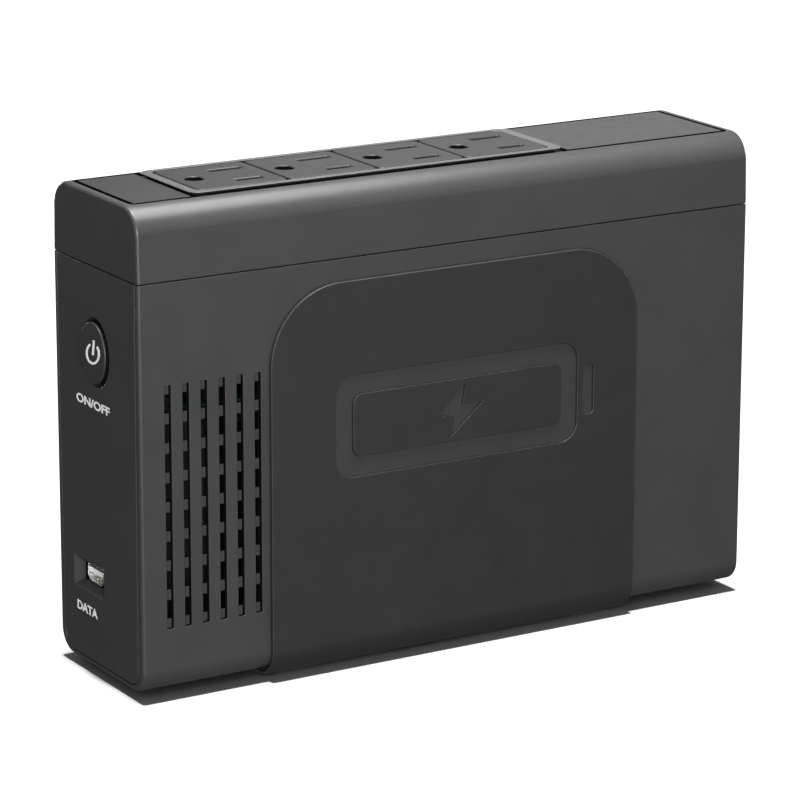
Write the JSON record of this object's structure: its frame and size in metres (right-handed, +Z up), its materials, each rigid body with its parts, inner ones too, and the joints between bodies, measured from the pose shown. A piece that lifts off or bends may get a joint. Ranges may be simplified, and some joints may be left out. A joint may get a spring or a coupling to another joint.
{
  "type": "uninterruptible power supply",
  "caption": "Slim upright power backup box: grounded outlets on top, power button and data port on one end, cord gland and breaker on the other.",
  "frame": {"origin": "bottom centre of the whole object, on the surface that the rubber feet stand on", "axes": "+Z up, +X along the case towards the cord end, -X towards the power button, -Y the wide face with the debossed sign and the line side of the outlets"},
  "size_m": [0.1816, 0.049, 0.1258],
  "materials": {
    "case_plastic": "fine-textured charcoal ABS",
    "saddle_plastic": "smoother, slightly darker charcoal ABS",
    "plate_plastic": "satin charcoal ABS",
    "outlet_plastic": "satin charcoal nylon",
    "button_plastic": "satin charcoal with a white standby sign",
    "black_plastic": "black moulded",
    "white_plastic": "white moulded",
    "foot_rubber": "matt black",
    "gland_rubber": "matt black",
    "screw_steel": "zinc plated",
    "port_steel": "bright tin plate",
    "contact_brass": "bright",
    "board_green": "solder mask",
    "winding_copper": "enamelled wire under tape",
    "core_steel": "varnished sheets",
    "sink_aluminium": "anodised",
    "battery_plastic": "moulded ABS",
    "lead_red": "PVC",
    "lead_black": "PVC",
    "capacitor_sleeve": "shrink sleeve",
    "fuse_glass": "glass tube with plated caps"
  },
  "bodies": {
    "case": {"lower_housing": "case_plastic", "top_cover": "case_plastic", "front_panel": "case_plastic", "rear_panel": "case_plastic", "saddle_panel": "saddle_plastic", "foot_front": "foot_rubber", "foot_rear": "foot_rubber", "cover_screw_1": "screw_steel", "cover_screw_2": "screw_steel", "cover_screw_3": "screw_steel", "cover_screw_4": "screw_steel", "saddle_screw_1": "screw_steel", "saddle_screw_2": "screw_steel", "top_plate": "plate_plastic", "outlet_bezel": "outlet_plastic", "receptacle_1": "outlet_plastic", "receptacle_2": "outlet_plastic", "receptacle_3": "outlet_plastic", "receptacle_4": "outlet_plastic", "contact_tray": "black_plastic", "neutral_bar": "contact_brass", "line_bar": "contact_brass", "ground_bar": "contact_brass", "power_switch": "black_plastic", "front_board": "board_green", "port_shell": "port_steel", "port_tongue": "black_plastic", "cord_gland": "gland_rubber", "breaker_body": "black_plastic", "breaker_nut": "screw_steel", "battery_case": "battery_plastic", "battery_lid": "battery_plastic", "battery_tab_1": "contact_brass", "battery_tab_2": "contact_brass", "battery_lead_black": "lead_black", "battery_lead_red": "lead_red", "transformer_core": "core_steel", "transformer_winding": "winding_copper", "transformer_foot": "core_steel", "transformer_screw_1": "screw_steel", "transformer_screw_2": "screw_steel", "main_board": "board_green", "heat_sink_1": "sink_aluminium", "heat_sink_2": "sink_aluminium", "transistor_1": "black_plastic", "transistor_2": "black_plastic", "capacitor_1": "capacitor_sleeve", "capacitor_2": "capacitor_sleeve", "capacitor_3": "capacitor_sleeve", "relay_1": "black_plastic", "relay_2": "black_plastic", "buzzer": "black_plastic", "choke": "winding_copper", "fuse_holder": "black_plastic", "fuse": "fuse_glass", "board_screw_1": "screw_steel", "board_screw_2": "screw_steel"},
    "power_key": {"power_button": "button_plastic", "switch_plunger": "white_plastic"},
    "breaker_key": {"breaker_button": "black_plastic"}
  },
  "joints": [
    {"name": "power_button_press", "type": "slide", "parent": "case", "child": "power_key", "axis": [1, 0, 0], "range_m": [0, 0.0015], "stiffness_N_per_m": 900},
    {"name": "breaker_button_trip", "type": "slide", "parent": "case", "child": "breaker_key", "axis": [1, 0, 0], "range_m": [0, 0.0025]}
  ]
}
